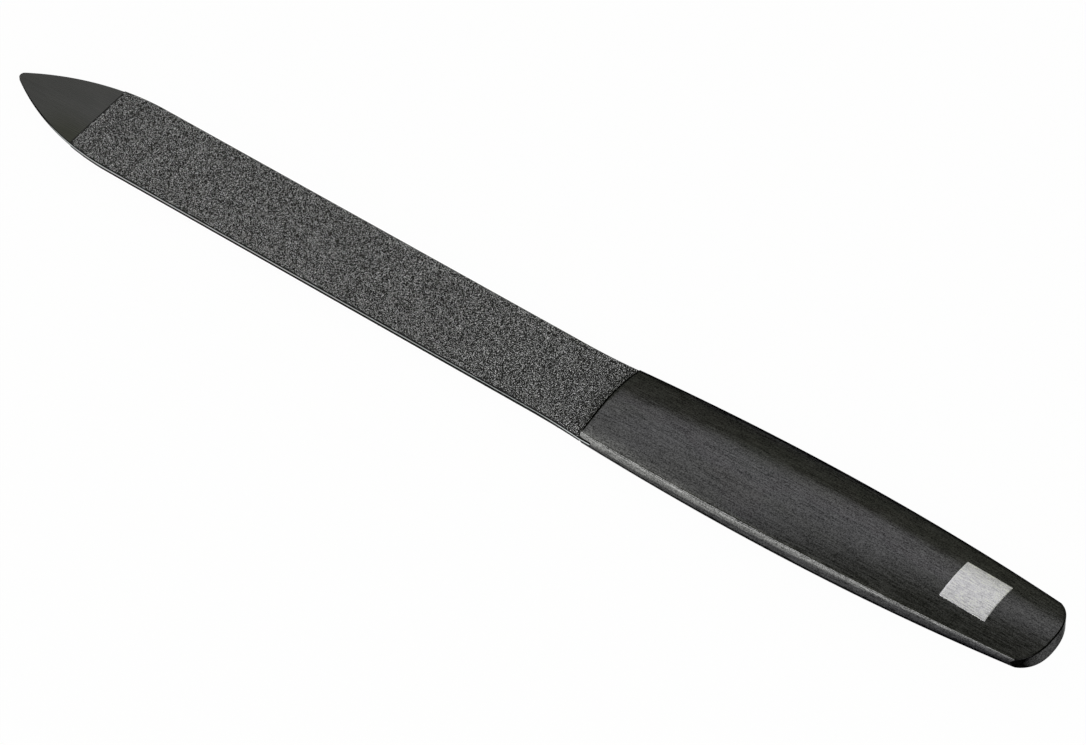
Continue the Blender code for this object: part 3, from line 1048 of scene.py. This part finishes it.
def grit_coat(name, side, tree):
    """One coat as a plain mesh: its bond layer and the grains that the tree sets on it."""
    sizes = settings("grit")
    coat = coat_plate(name, side)
    modifier = coat.modifiers.new("grains", "NODES")
    modifier.node_group = tree
    values = {"Spacing": sizes.spacing, "Grain radius": sizes.grain, "Seed": sizes.seed}
    for item in tree.interface.items_tree:
        if item.name in values:
            modifier[item.identifier] = values[item.name]
    settle(coat)
    used = coat.data.materials
    if used[0] is None:
        used.pop(index=0)
    return coat


# Operators

HALVES = (("upper", 1), ("lower", -1))


class MakeBlade(Operator):
    """Build the steel blade with its dark tip and ground edges"""

    bl_idname = "nail_file.make_blade"
    bl_label = "Make blade"

    def execute(self, context):
        made = blade_bar("blade_bar", (dark_steel_finish(), ground_edge_finish()))
        present(made, "blade_steel", "blade")
        return {"FINISHED"}


class MakeGrit(Operator):
    """Build the upper and lower abrasive coats"""

    bl_idname = "nail_file.make_grit"
    bl_label = "Make grit coats"

    def execute(self, context):
        tree = grain_tree(bond_finish(), grain_finish())
        for label, side in HALVES:
            made = grit_coat(label + "_grit", side, tree)
            present(made, "abrasive_grit", label + "_grit_coat")
        return {"FINISHED"}


class MakeHandle(Operator):
    """Build the two black shells of the handle"""

    bl_idname = "nail_file.make_handle"
    bl_label = "Make handle"

    def execute(self, context):
        form = HandleForm()
        sizes = settings("badge")
        black = black_brushed_finish()
        for label, side in HALVES:
            shell = made_object(label + "_handle", handle_shell(form, side), (black,))
            cut_away(shell, hollow(form, side))
            cut_away(shell, blade_slot())
            if side > 0:
                cut_away(shell, badge_slab(form, sizes.joint, sizes.pocket, MM, 24))
            shell.data.transform(form.placed())
            shade(shell, 35)
            present(shell, "black_handle", label + "_handle_shell")
        return {"FINISHED"}


class MakeBadge(Operator):
    """Build the bare bright square near the butt"""

    bl_idname = "nail_file.make_badge"
    bl_label = "Make badge"

    def execute(self, context):
        form = HandleForm()
        sizes = settings("badge")
        slab = badge_slab(form, 0, sizes.pocket - sizes.joint, sizes.proud, 32)
        made = made_object("badge_square", slab, (satin_badge_finish(),))
        made.data.transform(form.placed())
        round_edges(made, 0.02 * MM, 2)
        shade(made, 40)
        present(made, "bare_badge", "badge_inlay")
        return {"FINISHED"}


class FinishCore(Operator):
    """Give the filler inside the handle its resin finish"""

    bl_idname = "nail_file.finish_core"
    bl_label = "Finish core"

    def execute(self, context):
        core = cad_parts["handle_core"]
        core.data.materials.clear()
        core.data.materials.append(filler_finish())
        return {"FINISHED"}


def floor_finish():
    """Pale floor that shows as white and keeps the file's shadow."""
    n = Finish("pale_floor")
    studio = settings("studio")
    rays = n.add("ShaderNodeLightPath")
    mirrored = rays["Is Glossy Ray"].math("MAXIMUM", rays["Is Transmission Ray"])
    seen = rays["Is Camera Ray"] * studio.glow
    seen = seen.math("MAXIMUM", mirrored * studio.mirror_glow)
    matt = n.add("ShaderNodeBsdfDiffuse", {}, {"Color": paint("floor")})
    glow = n.add("ShaderNodeEmission", {}, {"Color": (1, 1, 1, 1), "Strength": 1})
    mixed = n.add("ShaderNodeMixShader", {}, {0: seen, 1: matt, 2: glow})
    return n.ended(mixed)


def add_floor():
    bm = bmesh.new()
    bmesh.ops.create_grid(bm, x_segments=1, y_segments=1, size=6.0)
    floor = made_object("floor", bm, (floor_finish(),))


def add_world(level, tint):
    """Soft light from all round, weaker overhead than at the horizon."""
    world = bpy.data.worlds.new("soft_surround")
    world.use_nodes = True
    n = Nodes(world.node_tree)
    rise = n.coordinate("Z", "Generated")
    falling = n.between(rise, 0.15, 0.9, level * 1.15, level * 0.6)
    surround = n.add("ShaderNodeBackground", {}, {"Color": (*tint, 1), "Strength": falling})
    n.add("ShaderNodeOutputWorld", {}, {"Surface": surround})
    bpy.context.scene.world = world


def aimed(name, data, location, rotation):
    """A lamp or camera in the scene, turned by a quaternion."""
    made = linked(name, data)
    made.location = location
    made.rotation_mode = "QUATERNION"
    made.rotation_quaternion = rotation
    return made


def area_light(name, towards, along, distance, width, height, radiance):
    """A softbox that faces the middle of the file, its height lying along a direction."""
    light = bpy.data.lights.new(name, "AREA")
    light.shape = "RECTANGLE"
    light.size, light.size_y = width, height
    light.energy = radiance * math.pi * width * height
    direction = Vector(towards).normalized()
    across_it = Vector(along).cross(direction).normalized()
    axes = Matrix((across_it, direction.cross(across_it), direction)).transposed()
    aimed(name, light, direction * distance, axes.to_quaternion())


# By setting of brightness: name, place, direction of the height, distance, width, height
SOFTBOXES = {
    "top": ("top_softbox", (-0.433, 0.214, 0.876), (0.39, 0.898, -0.213), 0.6075, 0.335, 0.98),
    "fill": ("fill_softbox", (0.62, -0.5, 0.6), (0, 0, 1), 1.0, 0.7, 0.7),
    "front": ("front_strip", (-0.385, -0.92, 0.12), (0, 0, 1), 0.6, 0.9, 0.16),
}

# The photograph's size and the file's middle in it in pixels, and the sensor's width in mm
PHOTO_WIDTH = 1086
PHOTO_HEIGHT = 745
MIDDLE_PIXEL = (512.65, 351.28)
SENSOR_WIDTH = 36


def add_camera(studio):
    """Camera at the photograph's angle, with the file's middle at its place in the frame."""
    data = bpy.data.cameras.new("camera")
    data.sensor_fit = "HORIZONTAL"
    data.sensor_width = SENSOR_WIDTH
    data.lens = studio.lens
    data.clip_start = 0.05
    data.clip_end = 20
    turn, rise = studio.azimuth, studio.elevation
    right = Vector((math.cos(turn), math.sin(turn), 0))
    ahead = Vector((-math.sin(turn), math.cos(turn), 0)) * math.cos(rise)
    ahead.z = -math.sin(rise)
    above = right.cross(ahead)
    per_pixel = studio.distance * SENSOR_WIDTH / studio.lens / PHOTO_WIDTH
    aside = (MIDDLE_PIXEL[0] - PHOTO_WIDTH / 2) * per_pixel
    upward = (PHOTO_HEIGHT / 2 - MIDDLE_PIXEL[1]) * per_pixel
    middle = Vector((0, 0, BLADE_PLANE))
    eye = middle - ahead * studio.distance - right * aside - above * upward
    bpy.context.scene.camera = aimed("camera", data, eye, ahead.to_track_quat("-Z", "Y"))


class SetStage(Operator):
    """Set the floor, the studio light and the camera"""

    bl_idname = "nail_file.set_stage"
    bl_label = "Set stage"

    def execute(self, context):
        studio = settings("studio")
        add_floor()
        add_world(studio.world, studio.world_tint)
        for brightness, softbox in SOFTBOXES.items():
            area_light(*softbox, getattr(studio, brightness))
        add_camera(studio)
        context.scene.view_settings.view_transform = "Standard"
        return {"FINISHED"}


STEPS = (MakeBlade, MakeGrit, MakeHandle, MakeBadge, FinishCore, SetStage)


class NailFilePanel(Panel):
    """Sidebar panel with the sizes, colours and steps"""

    bl_idname = "VIEW3D_PT_nail_file"
    bl_label = "Nail file"
    bl_space_type = "VIEW_3D"
    bl_region_type = "UI"
    bl_category = "Nail file"

    def draw(self, context):
        for name, group in SETTINGS.items():
            box = self.layout.box()
            box.label(text=group.__doc__)
            for item in group.__annotations__:
                box.prop(settings(name), item)
        for step in STEPS:
            self.layout.operator(step.bl_idname)


CLASSES = (*SETTINGS.values(), *STEPS, NailFilePanel)


def register():
    for item in CLASSES:
        bpy.utils.register_class(item)
    for name, group in SETTINGS.items():
        setattr(bpy.types.Scene, PREFIX + name, PointerProperty(type=group))


def unregister():
    for name in SETTINGS:
        delattr(bpy.types.Scene, PREFIX + name)
    for item in reversed(CLASSES):
        bpy.utils.unregister_class(item)


def main():
    register()
    bpy.ops.nail_file.make_blade()
    bpy.ops.nail_file.make_grit()
    bpy.ops.nail_file.make_handle()
    bpy.ops.nail_file.make_badge()
    bpy.ops.nail_file.finish_core()
    bpy.ops.nail_file.set_stage()


if __name__ == "__main__":
    main()
